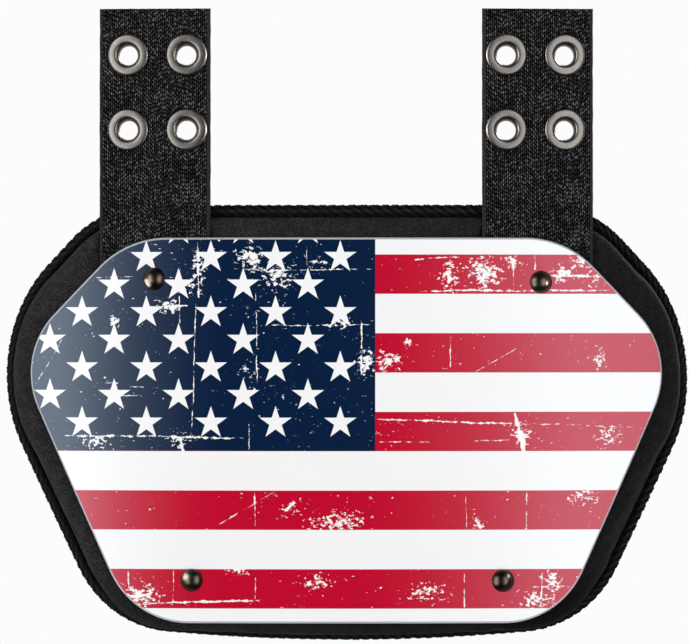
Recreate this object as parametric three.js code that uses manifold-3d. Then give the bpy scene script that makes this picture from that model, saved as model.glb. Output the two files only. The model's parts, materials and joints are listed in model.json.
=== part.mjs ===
// Football back plate: a hard curved plate riveted over a bound foam pad, hung on two webbing straps.
// Millimetres, +Z up. The front faces -Y, and +X is to the right as seen from the front.
// The origin is midway between the straps, level with the middle of the grommet rows.
//
// Every piece is laid out flat, as the sheet and the foam are cut, and then bent round one upright axis:
// u runs along the bend, z is the height, and depth is measured outwards from the plate's front face.
import * as THREE from 'three';
import { mergeVertices } from 'three/addons/utils/BufferGeometryUtils.js';
import Module from 'manifold-3d';

const wasm = await Module();
wasm.setup();

// Bend and clearance
const bendRadius = 380; // of the plate's front face
const gap = 0.3; // between pieces that touch
const stripWidth = 16; // widest flat facet of a bent face
const arcStep = THREE.MathUtils.degToRad(10); // of a rounded corner

// Plate
const plateTopWidth = 197.5; // between the top corners before they are rounded
const plateWidth = 304; // between the side corners before they are rounded
const plateBottomWidth = 192.3;
const plateHeight = 171.5;
const plateShoulder = 52.5; // from the top edge down to the side corners
const plateTopRound = 44.6;
const plateSideRound = 36.3;
const plateBottomRound = 40;
const plateThickness = 3;
const plateEdgeRound = 0.7;
const plateDrop = 64.4; // from the middle of the grommets down to the plate's top edge

// Pad, as far as it shows past the plate's corners
const padTopMargin = 14.5;
const padTopCornerMargin = 14.8;
const padSideMargin = 25.5;
const padSideLift = 5.3; // its side corners sit higher than the plate's
const padBottomCornerMargin = 15.9;
const padBottomMargin = 2;
const padBelly = 7.9; // the bottom edge bows down by this much more at the middle
const padTopRound = 52;
const padSideRound = 69;
const padBottomRound = 53;
const padBellyRound = 999;
const padThickness = 15;
const padShoulder = 7.6; // width of the rounded slope between the binding and the flat of the pad

// Binding tape, folded round the rim of the pad
const tapeWidth = 5.4;
const tapeHeight = 6.4;
const tapeThickness = 1.2;
const tapeDepth = 13.5; // from the plate's front face back to the middle of the tape

// Straps
const strapWidth = 50.8;
const strapThickness = 2.2;
const strapSpacing = 173.6; // between the two centrelines, along the bend
const strapAboveGrommets = 20.8; // from the upper grommet row to the cut end
const strapTail = 26; // hidden below the upper rivets
const strapStrips = 5;

// Grommets, four to a strap
const grommetRows = 33.3;
const grommetColumns = 26.8;
const grommetShift = 0.7; // the four sit this much nearer the middle of the plate than the strap does
const grommetHole = 8.6;
const grommetBarrel = 10.2;
const grommetFlange = 17.9;
const grommetFlangeHeight = 1.4;
const washerWidth = 17.4;
const washerThickness = 1.1;

// Rivets
const rivetHead = 10;
const rivetHeadHeight = 3.1;
const rivetShank = 3.8;
const rivetBackHeight = 1.2;
const upperRivetInset = 19.2; // below the plate's top edge, on the strap's centreline
const lowerRivetInset = 19; // above the plate's bottom edge
const lowerRivetSpacing = 139.4;
const dimpleDepth = 3.6; // the rivets pull the back of the pad in by this much
const dimpleWidth = 26;

const roundSides = 18;
const rivetSides = 16;

// Depths of the layers, all from the plate's front face
const strapFront = -(plateThickness + gap);
const strapBack = strapFront - strapThickness;
const padFront = strapFront;
const padBack = padFront - padThickness;

const colours = { print: 0xd8d4d6, foamCover: 0x1c1c1d, tape: 0x121213, webbing: 0x1d1d1f,
  nickel: 0xa7a29c, gunmetal: 0x3a352f };
const material = (color, roughness, metalness = 0) =>
  new THREE.MeshStandardMaterial({ color, roughness, metalness });
const plateMaterial = material(colours.print, 0.3);
const padMaterial = material(colours.foamCover, 0.9);
const tapeMaterial = material(colours.tape, 0.95);
const strapMaterial = material(colours.webbing, 0.85);
const grommetMaterial = material(colours.nickel, 0.35, 1);
const rivetMaterial = material(colours.gunmetal, 0.3, 1);

// A point of the flat layout, bent round the upright axis.
function bend(u, z, depth) {
  const angle = u / bendRadius;
  const radius = bendRadius + depth;
  return new THREE.Vector3(radius * Math.sin(angle), bendRadius - radius * Math.cos(angle), z);
}

// The rounded corners of a symmetric outline, given the corners of its right half from top to bottom.
function roundedCorners(corners) {
  const last = corners[corners.length - 1];
  const across = last.u > 0 ? last : corners[corners.length - 2];
  const place = (corner, side = 1) => new THREE.Vector2(side * corner.u, corner.z);
  const points = [place(corners[0], -1), ...corners.map((corner) => place(corner)), place(across, -1)];
  return corners.map(({ round }, i) => {
    const into = points[i + 1].clone().sub(points[i]).normalize();
    const away = points[i + 2].clone().sub(points[i + 1]).normalize();
    const turn = Math.acos(into.dot(away));
    const start = points[i + 1].clone().addScaledVector(into, -round * Math.tan(turn / 2));
    const centre = start.addScaledVector(new THREE.Vector2(into.y, -into.x), round);
    const from = Math.atan2(into.x, -into.y);
    return { centre, round, from, to: from - turn };
  });
}

// An outline drawn in by an inset, as columns: a top and a bottom point at each place along the bend.
function columnsOf(corners, inset) {
  const arcs = roundedCorners(corners).map((arc) => ({ ...arc, round: arc.round - inset }));
  const onArc = (arc, angle) => ({
    u: arc.centre.x + arc.round * Math.cos(angle),
    z: arc.centre.y + arc.round * Math.sin(angle),
    normal: new THREE.Vector2(Math.cos(angle), Math.sin(angle)),
  });
  const places = new Set([0]);
  for (const arc of arcs) {
    const steps = Math.ceil((arc.from - arc.to) / arcStep);
    for (let i = 0; i <= steps; i++) {
      places.add(onArc(arc, arc.from + ((arc.to - arc.from) * i) / steps).u);
    }
  }
  const side = arcs.find((arc) => arc.from > 0 && arc.to <= 0);
  const reach = side.centre.x + side.round;
  for (const part of [0.25, 0.5, 0.75]) places.add(onArc(side, part * side.from).u);

  const kept = [0];
  for (const u of [...places].filter((place) => place > 0 && place < reach).sort((a, b) => a - b)) {
    const before = kept[kept.length - 1];
    if (u - before < 1.5) continue;
    const parts = Math.ceil((u - before) / stripWidth);
    for (let i = 1; i <= parts; i++) kept.push(before + ((u - before) * i) / parts);
  }
  if (reach - kept[kept.length - 1] < 1) kept.pop();

  const pointAt = (u, up) => {
    const ends = arcs.map((arc) => [onArc(arc, arc.from), onArc(arc, arc.to)]);
    for (let i = 0; i < arcs.length; i++) {
      const { centre, round } = arcs[i];
      const height = Math.sqrt(Math.max(0, round ** 2 - (u - centre.x) ** 2));
      const angle = Math.atan2(up * height, u - centre.x);
      if (angle <= arcs[i].from + 1e-9 && angle >= arcs[i].to - 1e-9) return onArc(arcs[i], angle);
      const end = ends[i][1];
      const next = i + 1 < arcs.length ? ends[i + 1][0] : { u: 0, z: end.z };
      const inside = (u - end.u) * (u - next.u) <= 0;
      if (inside && Math.sign(end.normal.y) === up) {
        return { u, z: end.z + ((next.z - end.z) * (u - end.u)) / (next.u - end.u), normal: end.normal };
      }
    }
    return { u, z: ends[0][0].z, normal: ends[0][0].normal };
  };
  const flip = (point) => ({ u: -point.u, z: point.z, normal: new THREE.Vector2(-point.normal.x, point.normal.y) });
  const right = kept.map((u) => ({ top: pointAt(u, 1), bottom: pointAt(u, -1) }));
  const tip = onArc(side, 0);
  right.push({ top: tip, bottom: tip });
  const left = right.slice(1).reverse().map(({ top, bottom }) => ({ top: flip(top), bottom: flip(bottom) }));
  return [...left, ...right];
}

function geometryOf(points, triangles) {
  const position = new THREE.Float32BufferAttribute(points.flatMap((p) => [p.x, p.y, p.z]), 3);
  return new THREE.BufferGeometry().setAttribute('position', position).setIndex(triangles.flat());
}

// A section carried round an outline and bent. Each row of the section is an inset from the outline and a
// depth. A capped section starts on the front face and ends on the back face; any other closes on itself.
function edged(corners, section, capped) {
  const inset = capped ? section[0].inset : 0;
  const columns = columnsOf(corners, inset);
  const loop = [...columns.map((column) => column.top), ...columns.slice(1, -1).reverse().map((c) => c.bottom)];
  const points = section.flatMap((row) => loop.map(({ u, z, normal }) => {
    const out = inset - row.inset;
    return bend(u + normal.x * out, z + normal.y * out, row.depth);
  }));
  const n = loop.length;
  const triangles = [];
  for (let row = 0; row < section.length - (capped ? 1 : 0); row++) {
    const a = row * n;
    const b = ((row + 1) % section.length) * n;
    for (let i = 0; i < n; i++) {
      const j = (i + 1) % n;
      triangles.push([a + i, a + j, b + j], [a + i, b + j, b + i]);
    }
  }
  if (capped) {
    const back = (section.length - 1) * n;
    for (let i = 0; i < columns.length - 1; i++) {
      const quad = [i, i + 1, (n - i - 1) % n, (n - i) % n];
      for (const [p, q, r] of [[0, 2, 1], [0, 3, 2]]) {
        if (new Set([quad[p], quad[q], quad[r]]).size < 3) continue;
        triangles.push([quad[p], quad[q], quad[r]], [back + quad[p], back + quad[r], back + quad[q]]);
      }
    }
  }
  return geometryOf(points, triangles);
}

// A flat bar of the layout, bent: from one height to another, and between two depths.
function bentBar(centreU, width, zLow, zHigh, depthBack, depthFront, strips) {
  const geometry = new THREE.BoxGeometry(width, zHigh - zLow, depthFront - depthBack, strips, 1, 1);
  const position = geometry.getAttribute('position');
  for (let i = 0; i < position.count; i++) {
    const depth = position.getZ(i) + (depthFront + depthBack) / 2;
    const z = position.getY(i) + (zHigh + zLow) / 2;
    position.setXYZ(i, ...bend(centreU + position.getX(i), z, depth).toArray());
  }
  return geometry;
}

// A turned piece on the outward normal. Each row of its profile is a radius and a depth.
function turned(profile, sides) {
  return new THREE.LatheGeometry(profile.map(([radius, depth]) => new THREE.Vector2(radius, -depth)), sides);
}

// Where a turned piece sits: its own -Y is the outward normal, and its origin is on the plate's front face.
function seat(u, z) {
  const holder = new THREE.Group();
  holder.position.copy(bend(u, z, 0));
  holder.rotation.z = u / bendRadius;
  return holder;
}

function solidOf(geometry, holder) {
  const bare = geometry.clone();
  bare.deleteAttribute('normal');
  bare.deleteAttribute('uv');
  const merged = mergeVertices(bare, 1e-3);
  if (holder) {
    holder.updateMatrix();
    merged.applyMatrix4(holder.matrix);
  }
  const vertProperties = merged.getAttribute('position').array;
  return new wasm.Manifold(new wasm.Mesh({ numProp: 3, vertProperties, triVerts: new Uint32Array(merged.index.array) }));
}

// A geometry with others cut out of it.
function cut(geometry, cutters) {
  const solid = cutters.reduce((left, cutter) => left.subtract(cutter), solidOf(geometry));
  const { vertProperties, triVerts } = solid.getMesh();
  return new THREE.BufferGeometry()
    .setAttribute('position', new THREE.BufferAttribute(new Float32Array(vertProperties), 3))
    .setIndex(new THREE.BufferAttribute(new Uint32Array(triVerts), 1));
}

// A round hole on the outward normal, through everything.
function hole(u, z, diameter, sides) {
  const depth = 4 * (plateThickness + strapThickness + padThickness);
  return solidOf(new THREE.CylinderGeometry(diameter / 2, diameter / 2, depth, sides), seat(u, z));
}

// Outlines

const plateTop = -plateDrop;
const plateBottom = plateTop - plateHeight;
const plateCorners = [
  { u: plateTopWidth / 2, z: plateTop, round: plateTopRound },
  { u: plateWidth / 2, z: plateTop - plateShoulder, round: plateSideRound },
  { u: plateBottomWidth / 2, z: plateBottom, round: plateBottomRound },
];
const padBottom = plateBottom - padBottomMargin;
const padCorners = [
  { u: plateTopWidth / 2 + padTopCornerMargin, z: plateTop + padTopMargin, round: padTopRound },
  { u: plateWidth / 2 + padSideMargin, z: plateTop - plateShoulder + padSideLift, round: padSideRound },
  { u: plateBottomWidth / 2 + padBottomCornerMargin, z: padBottom, round: padBottomRound },
  { u: 0, z: padBottom - padBelly, round: padBellyRound },
];

// Places of the rivets and grommets

const sides = [{ name: 'left', way: -1 }, { name: 'right', way: 1 }];
const strapTop = grommetRows / 2 + strapAboveGrommets;
const upperRivetZ = plateTop - upperRivetInset;
const rivets = sides.flatMap(({ name, way }) => [
  { name: `rivet_upper_${name}`, u: (way * strapSpacing) / 2, z: upperRivetZ },
  { name: `rivet_lower_${name}`, u: (way * lowerRivetSpacing) / 2, z: plateBottom + lowerRivetInset },
]);
const grommetsOf = ({ name, way }) => [1, -1].flatMap((row) => [-1, 1].map((column) => ({
  name: `grommet_${name}_${row > 0 ? 'upper' : 'lower'}_${column * way > 0 ? 'outer' : 'inner'}`,
  u: way * (strapSpacing / 2 - grommetShift) + (column * grommetColumns) / 2,
  z: (row * grommetRows) / 2,
})));

// Pieces

function backPlate() {
  const section = [
    { inset: plateEdgeRound, depth: 0 },
    { inset: 0, depth: -plateEdgeRound },
    { inset: 0, depth: plateEdgeRound - plateThickness },
    { inset: plateEdgeRound, depth: -plateThickness },
  ];
  const holes = rivets.map(({ u, z }) => hole(u, z, rivetShank + 2 * gap, rivetSides));
  return new THREE.Mesh(cut(edged(plateCorners, section, true), holes), plateMaterial);
}

// The pad rises from a thin rim, held inside the folded tape, over a rounded slope to its full thickness.
function foamPad() {
  const rimHalf = tapeHeight / 2 - tapeThickness - gap;
  const rimOuter = tapeThickness + 2 * gap;
  const slopeStart = tapeWidth + gap;
  const slope = (angle) => slopeStart + padShoulder * (1 - Math.cos(angle));
  const angles = [90, 65, 43, 22, 0].map(THREE.MathUtils.degToRad);
  const rimFront = -tapeDepth + rimHalf;
  const rimBack = -tapeDepth - rimHalf;
  const section = [
    ...angles.map((a) => ({ inset: slope(a), depth: rimFront + (padFront - rimFront) * Math.sin(a) })),
    { inset: rimOuter, depth: rimFront },
    { inset: rimOuter, depth: rimBack },
    ...[0, 45, 90].map(THREE.MathUtils.degToRad)
      .map((a) => ({ inset: slope(a), depth: rimBack + (padBack - rimBack) * Math.sin(a) })),
  ];
  const channels = sides.map(({ way }) => solidOf(bentBar((way * strapSpacing) / 2, strapWidth + 4 * gap,
    upperRivetZ - strapTail - 2 * gap, strapTop, strapBack - gap, padFront + gap, strapStrips)));
  const holes = rivets.map(({ u, z }) => hole(u, z, rivetShank + 2 * gap, rivetSides));
  const mouth = padBack - plateThickness;
  const slant = (dimpleWidth - rivetHead) / 2 - 4 * gap;
  const dimple = turned([[0, padBack + dimpleDepth], [rivetHead / 2 + 4 * gap, padBack + dimpleDepth],
    [dimpleWidth / 2 + slant * (plateThickness / dimpleDepth), mouth], [0, mouth]], rivetSides);
  const dimples = rivets.map(({ u, z }) => solidOf(dimple, seat(u, z)));
  return new THREE.Mesh(cut(edged(padCorners, section, true), [...channels, ...holes, ...dimples]), padMaterial);
}

// A tape folded to a U over the rim, with its two legs lying on the front and the back of the pad.
function edgeBinding() {
  const half = tapeHeight / 2;
  const inner = half - tapeThickness;
  const at = (inset, rise) => ({ inset, depth: rise - tapeDepth });
  const section = [
    at(tapeWidth, half), at(0.3 * tapeHeight, half), at(0.06 * tapeHeight, 0.55 * half), at(0, 0),
    at(0.06 * tapeHeight, -0.55 * half), at(0.3 * tapeHeight, -half), at(tapeWidth, -half),
    at(tapeWidth, -inner), at(tapeThickness + gap, -inner), at(tapeThickness + gap, inner), at(tapeWidth, inner),
  ];
  return new THREE.Mesh(edged(padCorners, section, false), tapeMaterial);
}

function strap(side) {
  const u = (side.way * strapSpacing) / 2;
  const bar = bentBar(u, strapWidth, upperRivetZ - strapTail, strapTop, strapBack, strapFront, strapStrips);
  const holes = grommetsOf(side).map((place) => hole(place.u, place.z, grommetBarrel + 2 * gap, roundSides));
  holes.push(hole(u, upperRivetZ, rivetShank + 2 * gap, rivetSides));
  return new THREE.Mesh(cut(bar, holes), strapMaterial);
}

// A rolled flange in front, a barrel through the webbing and a flat washer clenched behind.
function grommet() {
  const face = strapFront + gap;
  const seatBack = strapBack - gap;
  const rise = (share) => face + share * grommetFlangeHeight;
  const across = (share) => (grommetHole + share * (grommetFlange - grommetHole)) / 2;
  const profile = [
    [grommetHole / 2, seatBack - washerThickness], [grommetHole / 2, rise(0)], [across(0.12), rise(0.62)],
    [across(0.42), rise(1)], [across(0.85), rise(0.68)], [across(1), rise(0.18)], [across(0.98), face],
    [grommetBarrel / 2, face], [grommetBarrel / 2, seatBack], [washerWidth / 2, seatBack],
    [washerWidth / 2, seatBack - washerThickness],
  ];
  return new THREE.Mesh(turned([...profile, profile[0]], roundSides), grommetMaterial);
}

// A domed head in front, a shank through plate, strap and pad, and a flat cap pulled into the pad's back.
function rivet() {
  const domeRadius = (rivetHeadHeight ** 2 + (rivetHead / 2) ** 2) / (2 * rivetHeadHeight);
  const domeAngle = Math.asin(rivetHead / 2 / domeRadius);
  const dome = [0, 0.34, 0.67, 1].map((share) => [domeRadius * Math.sin(share * domeAngle),
    gap + rivetHeadHeight - domeRadius * (1 - Math.cos(share * domeAngle))]);
  const capFront = padBack + dimpleDepth - gap;
  const profile = [
    ...dome, [rivetShank / 2, gap], [rivetShank / 2, capFront], [rivetHead / 2, capFront],
    [rivetHead / 2 - rivetBackHeight / 2, capFront - rivetBackHeight], [0, capFront - rivetBackHeight],
  ];
  return new THREE.Mesh(turned(profile, rivetSides), rivetMaterial);
}

// The whole

const backPlateGroup = new THREE.Group();
function add(name, mesh, holder = backPlateGroup) {
  mesh.name = name;
  holder.add(mesh);
  if (holder !== backPlateGroup) backPlateGroup.add(holder);
}

add('back_plate', backPlate());
add('foam_pad', foamPad());
add('edge_binding', edgeBinding());
for (const side of sides) {
  add(`strap_${side.name}`, strap(side));
  for (const { name, u, z } of grommetsOf(side)) add(name, grommet(), seat(u, z));
}
for (const { name, u, z } of rivets) add(name, rivet(), seat(u, z));

// The origin lies between the straps, at the middle of their thickness.
const strapMiddle = bend(strapSpacing / 2, 0, (strapFront + strapBack) / 2);
backPlateGroup.position.y = -strapMiddle.y;

export default backPlateGroup;
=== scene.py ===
import json
import math

import bmesh
import bpy
from mathutils import Matrix, Vector, noise

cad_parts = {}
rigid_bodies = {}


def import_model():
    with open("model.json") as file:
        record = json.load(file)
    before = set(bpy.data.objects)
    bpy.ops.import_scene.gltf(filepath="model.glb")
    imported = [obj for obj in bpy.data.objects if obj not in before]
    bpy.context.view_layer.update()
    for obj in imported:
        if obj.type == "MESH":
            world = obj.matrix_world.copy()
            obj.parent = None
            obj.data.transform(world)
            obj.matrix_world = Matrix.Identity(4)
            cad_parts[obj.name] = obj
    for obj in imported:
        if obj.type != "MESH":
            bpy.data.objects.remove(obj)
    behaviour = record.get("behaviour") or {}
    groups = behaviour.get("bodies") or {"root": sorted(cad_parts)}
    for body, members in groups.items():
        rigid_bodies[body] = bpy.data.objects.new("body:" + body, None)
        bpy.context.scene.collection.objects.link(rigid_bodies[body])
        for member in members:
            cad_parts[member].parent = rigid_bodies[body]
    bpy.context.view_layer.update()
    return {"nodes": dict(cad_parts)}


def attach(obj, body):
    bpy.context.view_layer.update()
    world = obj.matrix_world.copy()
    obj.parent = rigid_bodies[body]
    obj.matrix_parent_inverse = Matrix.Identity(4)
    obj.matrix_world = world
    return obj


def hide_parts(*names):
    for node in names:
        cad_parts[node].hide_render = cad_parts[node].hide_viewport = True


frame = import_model()
scene = bpy.context.scene
mm = 0.001
print("frame loaded:", len(frame["nodes"]), "nodes")

# Everything is modelled in a flat layout and then bent round one upright axis.
# Flat: x along the bend, -y out of the plate's front face, z up.
body = {
    "bendRadius": 380 * mm,  # of the plate's front face
    "originDepth": 14.1562 * mm,  # the origin lies this far behind the plate's middle
    # by how much the sewn pad is wider on its left, at its upper right and at its lower right
    "spread": (0.003, 0.005, 0.013),
    "spreadDrops": (110 * mm, 160 * mm),  # the right side changes over between these, below the grommets
}


def bendPoint(p):
    angle = p.x / body["bendRadius"]
    radius = body["bendRadius"] - p.y
    depth = body["bendRadius"] - radius * math.cos(angle) - body["originDepth"]
    return Vector((radius * math.sin(angle), depth, p.z))


def spreadPad(bm):
    left, upper, lower = body["spread"]
    for vert in bm.verts:
        right = upper + (lower - upper) * smoothStep(-vert.co.z, *body["spreadDrops"])
        vert.co.x *= 1 + (right if vert.co.x > 0 else left)


def seatMatrix(x, z):
    place = Matrix.Translation(bendPoint(Vector((x, 0, z))))
    return place @ Matrix.Rotation(x / body["bendRadius"], 4, "Z")


def smoothStep(value, low, high):
    t = min(1, max(0, (value - low) / (high - low)))
    return t * t * (3 - 2 * t)


# Finishes


class Wire:
    def __init__(self, graph, socket):
        self.graph = graph
        self.socket = socket

    def math(self, operation, *others):
        return self.graph.node("Math", {"operation": operation}, dict(enumerate([self, *others])))

    def __add__(self, other):
        return self.math("ADD", other)

    def __sub__(self, other):
        return self.math("SUBTRACT", other)

    def __mul__(self, other):
        return self.math("MULTIPLY", other)

    def __truediv__(self, other):
        return self.math("DIVIDE", other)

    def __pow__(self, other):
        return self.math("POWER", other)

    def __rsub__(self, other):
        return self.graph.node("Math", {"operation": "SUBTRACT"}, {0: other, 1: self})

    __radd__ = __add__
    __rmul__ = __mul__

    def clamped(self):
        return self.graph.node("Clamp", {}, {0: self})

    def above(self, level, soft):  # 0 below the level, 1 above it, over a soft edge
        return ((self - level) / soft + 0.5).clamped()

    def rising(self, low, high):
        return self.graph.node("MapRange", {"interpolation_type": "SMOOTHSTEP"}, {0: self, 1: low, 2: high})


class Graph:
    def __init__(self, tree):
        self.tree = tree
        tree.nodes.clear()

    def node(self, kind, settings=None, inputs=None, output=0):
        made = self.tree.nodes.new("ShaderNode" + kind)
        for key, value in (settings or {}).items():
            setattr(made, key, value)
        for key, value in (inputs or {}).items():
            if isinstance(value, Wire):
                self.tree.links.new(value.socket, made.inputs[key])
            else:
                made.inputs[key].default_value = value
        return Wire(self, made.outputs[output])

    def axes(self, vector, scale=1000):  # the three numbers of a vector, in millimetres unless scaled
        return [self.node("SeparateXYZ", {}, {0: vector}, output=i) * scale for i in range(3)]


class Finish(Graph):
    def __init__(self, name, roughness, metallic=0.0, **settings):
        self.material = bpy.data.materials.new(name)
        self.material.use_nodes = True
        super().__init__(self.material.node_tree)
        self.shader = self.tree.nodes.new("ShaderNodeBsdfPrincipled")
        output = self.tree.nodes.new("ShaderNodeOutputMaterial")
        self.tree.links.new(self.shader.outputs[0], output.inputs[0])
        self.set("Roughness", roughness)
        self.set("Metallic", metallic)
        for key, value in settings.items():
            self.set(key.replace("_", " "), value)

    def set(self, socket, value):
        target = self.shader.inputs[socket]
        if isinstance(value, Wire):
            self.tree.links.new(value.socket, target)
        else:
            target.default_value = value

    def place(self):
        return self.node("TexCoord", output="Object")

    def clothPlace(self):  # across and along a cloth, in millimetres
        return self.axes(self.node("UVMap", {"uv_map": "cloth"}), 1)[:2]

    def vector(self, x, y, z=0.0):
        return self.node("CombineXYZ", {}, {0: x, 1: y, 2: z})

    def stretched(self, vector, scale, offset=(0, 0, 0)):
        return self.node("Mapping", {}, {"Vector": vector, "Location": offset, "Scale": scale})

    def noise(self, vector, scale, detail=2.0, rough=0.5, twist=0.0):
        return self.node("TexNoise", {}, {"Vector": vector, "Scale": scale, "Detail": detail,
                                          "Roughness": rough, "Distortion": twist})

    def colour(self, a, b, mask):
        a, b = (tint if isinstance(tint, Wire) else (*tint, 1) for tint in (a, b))
        return self.node("Mix", {"data_type": "RGBA"}, {0: mask, 6: a, 7: b}, output=2)

    def bump(self, height, strength=1.0):  # the height is in metres
        return self.node("Bump", {}, {"Height": height, "Distance": 1.0, "Strength": strength})


wear = {
    # worn lines: both ends, in mm from the middle of the grommets, and half the width
    "cracks": [
        (-65.8, -64.5, -65.8, -92.1, 0.42), (-67.1, -92.1, -68.8, -159.1, 0.2),
        (-126, -152.4, -47.4, -153.2, 0.38), (6.8, -100.5, 6.8, -124.8, 0.36),
        (-38.5, -103.5, 12.2, -103.1, 0.26), (-40, -86, -40, -130.8, 0.22),
        (-87.2, -94.8, -69.8, -94.8, 0.34), (-113.5, -81.8, -93.2, -81.8, 0.2),
        (-74.2, -88, -74.2, -103, 0.22), (-50.4, -78.6, 12.8, -78.8, 0.22),
        (-17.3, -66.2, -17.3, -78.1, 0.2), (-97.1, -130.8, -83.7, -131.1, 0.22),
        (-111.6, -129, -101.1, -129.3, 0.22), (-110, -134.8, -90.2, -135, 0.2),
        (-126, -108.5, -138.9, -129.8, 0.24), (-73.8, -153.2, -72.3, -159.1, 0.6),
        (-43.4, -145.7, -43.4, -159.1, 0.22), (31, -88.3, 119.6, -87.9, 0.34),
        (30.2, -74.1, 52.3, -73.4, 0.3), (90.6, -81.5, 117, -82.1, 0.36), (74.5, -76, 74.5, -89.6, 0.2),
        (84, -72.1, 84, -78.5, 0.28), (57, -124.4, 76.2, -113.5, 0.2),
        (46.2, -107.5, 46.2, -124.4, 0.22), (13.1, -145.1, 75.3, -147.1, 0.34),
        (75.3, -147.1, 134.1, -149.2, 0.22), (74.9, -142.9, 78.7, -159.5, 0.62),
        (14, -155.2, 37.8, -155.2, 0.2), (56.6, -154.8, 73.6, -154.8, 0.2),
        (-59.7, -193.5, -32.8, -178.1, 0.22), (-40.7, -177.6, -40.7, -194.3, 0.3),
        (-96.6, -227.4, -33.7, -225.8, 0.4), (-97.5, -212, -97.1, -220.3, 0.34),
        (-77.1, -212, -77.1, -229.5, 0.22), (-40.7, -215.5, -40.3, -226, 0.24),
        (80.5, -177.6, 80.2, -195, 0.24), (83, -219.6, 100, -219.6, 0.3), (87, -212, 87, -231, 0.3),
        (53.2, -177.5, 53.2, -195, 0.22), (52, -213, 52.5, -231, 0.3),
    ],
    # places where the print has flaked: middle, reach across and up, and how far it has gone
    "patches": [
        (-44, -73.5, 9, 7, 1), (-65.5, -77, 3.6, 15, 0.85), (-71.5, -87, 5, 5, 0.8),
        (-79.4, -95, 6, 4, 1), (-103.6, -102, 5, 3.2, 0.9), (8.3, -120, 6, 8, 0.95),
        (-2.8, -102, 7, 4, 0.8), (-31.5, -81, 9, 7, 0.7), (-13, -74.5, 6, 4, 0.6),
        (-111, -155, 10, 4.5, 0.75), (-73.3, -153.6, 8, 5, 0.8), (-45, -123, 8, 5, 0.6),
        (61.7, -80, 10, 8, 1), (46, -82, 5, 8, 0.75), (96, -80.5, 8, 5, 1), (105, -74.5, 8, 5, 0.95),
        (112, -83, 8, 7, 0.75), (74.5, -75.5, 6, 5, 0.75), (19, -119.4, 9, 6, 0.85),
        (28, -110.5, 4, 3, 0.9), (113.2, -118, 3.5, 7, 0.9), (77, -151.5, 7, 7, 0.95),
        (116.2, -152.7, 8, 7, 0.75), (-3, -191, 17, 6, 0.85), (-25.3, -185, 5, 4, 0.7),
        (-91, -223.5, 13, 7, 1), (-48, -212.6, 8, 3.4, 0.9), (-13, -217.7, 9, 4, 0.75),
        (92, -217, 6, 6, 0.95), (84, -226, 11, 6, 0.85), (37, -222, 12, 5, 0.75),
        (58.5, -192, 4, 4, 0.85), (104, -179, 9, 5, 0.75), (-120, -188, 6, 6, 0.6),
    ],
    "patchReach": 1.25,  # all patches are this much wider than their reach
    "thin": 0.2, "widening": 2.2,  # lines of more than this half width are widened
}


def printWear(finish, place):
    # flakes gather in the worn places, the worn lines are broken, and chips and specks lie anywhere
    inMillimetres = finish.node("VectorMath", {"operation": "SCALE"}, {0: place, 3: 1000.0})

    def drift(scale, size):
        cloud = finish.node("TexNoise", {}, {"Vector": place, "Scale": scale, "Detail": 2.0}, output=1)
        centred = finish.node("VectorMath", {"operation": "SUBTRACT"}, {0: cloud, 1: (0.5, 0.5, 0.5)})
        return finish.node("VectorMath", {"operation": "SCALE"}, {0: centred, 3: size})

    jagged = finish.node("VectorMath", {"operation": "ADD"}, {0: inMillimetres, 1: drift(45, 2.2)})
    jagged = finish.node("VectorMath", {"operation": "ADD"}, {0: jagged, 1: drift(950, 0.9)})

    def seen(x, z, turn, reachX, reachZ):  # the same place as a part of each reach from a turned centre
        return finish.node("Mapping", {"vector_type": "TEXTURE"}, {
            "Vector": jagged, "Location": (x, 0, z), "Rotation": (0, turn, 0),
            "Scale": (reachX, 1000, reachZ)})

    near = None
    for x1, z1, x2, z2, half in wear["cracks"]:
        length = math.hypot(x2 - x1, z2 - z1)
        turn = math.atan2(z1 - z2, x2 - x1)
        line = seen((x1 + x2) / 2, (z1 + z2) / 2, turn, length / 2, half)
        line = finish.node("VectorMath", {"operation": "ABSOLUTE"}, {0: line})
        parts = finish.axes(line, 1)
        away = parts[0] ** 8 + parts[2] - (half - wear["thin"]) * wear["widening"]
        near = near.math("MINIMUM", away) if near else away
    worst = None
    for x, z, reachX, reachZ, amount in wear["patches"]:
        spot = seen(x, z, 0, reachX * wear["patchReach"], reachZ * wear["patchReach"])
        gone = (1 - finish.node("VectorMath", {"operation": "LENGTH"}, {0: spot}, output=1)) * amount
        worst = worst.math("MAXIMUM", gone) if worst else gone

    grain = finish.noise(place, 1500, 2, 0.6)
    breaks = finish.noise(place, 300, 3, 0.6)
    lines = (breaks * 5.5 - 2.45 - (grain - 0.5) * 1.2 - near).above(0, 0.35)
    flake = finish.noise(finish.stretched(place, (0.85, 1, 1.25)), 560, 4, 0.64, 0.3)
    anywhere = finish.noise(place, 40, 2, 0.5)
    flakes = (flake - 0.703 + worst.clamped() * 0.29 + (anywhere - 0.5) * 0.16).above(0, 0.022)
    chip = finish.noise(finish.stretched(place, (0.4, 1, 1.5)), 600, 3, 0.7)
    chips = (chip - 0.725 + (anywhere - 0.5) * 0.2).above(0, 0.02)
    specked = finish.stretched(jagged, (0.00075, 0.001, 0.0012))
    dots = finish.node("TexVoronoi", {}, {"Vector": specked, "Scale": 260})
    cells = finish.node("TexVoronoi", {}, {"Vector": specked, "Scale": 260}, output="Color")
    chance = finish.node("SeparateColor", {}, {0: cells})
    specks = (chance * 0.6 - 0.48 - dots).above(0, 0.04)
    return (lines + flakes + chips + specks).clamped(), grain


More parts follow.
